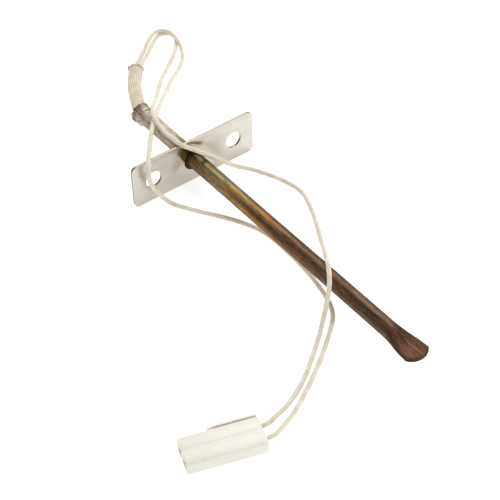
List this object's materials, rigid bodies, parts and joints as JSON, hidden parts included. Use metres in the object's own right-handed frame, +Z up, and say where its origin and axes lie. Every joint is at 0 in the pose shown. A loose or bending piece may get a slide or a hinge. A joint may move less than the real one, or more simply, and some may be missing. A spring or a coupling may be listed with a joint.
{
  "type": "oven temperature probe",
  "caption": "Stainless probe through a two-hole flange, with a fibreglass sleeve, two braided leads and a two-way latching plug.",
  "frame": {"origin": "middle of the two flange screw holes, on the flange's rear face", "axes": "+X along the sheath to its tip, Y along the flange, +Z up across the flange; the probe lies on a surface at z = -8.9 mm"},
  "size_m": [0.2043, 0.1258, 0.0235],
  "materials": {
    "flange_steel": "brushed stainless sheet",
    "tinted_steel": "stainless tube, heat-tinted straw to purple-brown",
    "fibreglass": "cream braided glass fibre",
    "ceramic": "unglazed white ceramic",
    "nylon": "natural nylon, slightly translucent",
    "tinned_brass": "tin-plated brass",
    "nickel_wire": "bright nickel wire"
  },
  "bodies": {
    "probe": {"flange_plate": "flange_steel", "mounting_ferrule": "tinted_steel", "sheath_tube": "tinted_steel", "fibreglass_sleeve": "fibreglass", "lead_wire_a": "fibreglass", "lead_wire_b": "fibreglass", "seal_plug": "ceramic", "insulator_beads": "ceramic", "splice_barrel_a": "tinned_brass", "splice_barrel_b": "tinned_brass", "splice_sleeve_a": "fibreglass", "splice_sleeve_b": "fibreglass", "inner_lead_a": "nickel_wire", "inner_lead_b": "nickel_wire", "rtd_element": "ceramic", "element_leads": "nickel_wire", "tip_cement": "ceramic", "connector_housing": "nylon", "terminal_a": "tinned_brass", "terminal_b": "tinned_brass", "conductor_a": "nickel_wire", "conductor_b": "nickel_wire"},
    "latch": {"connector_latch": "nylon"}
  },
  "joints": [
    {"name": "latch_press", "type": "hinge", "parent": "probe", "child": "latch", "pos_m": [0.10096, -0.06618, -0.0062], "axis": [0, 0, -1], "range_deg": [0, 2.2], "stiffness_Nm_per_rad": 1.5}
  ]
}
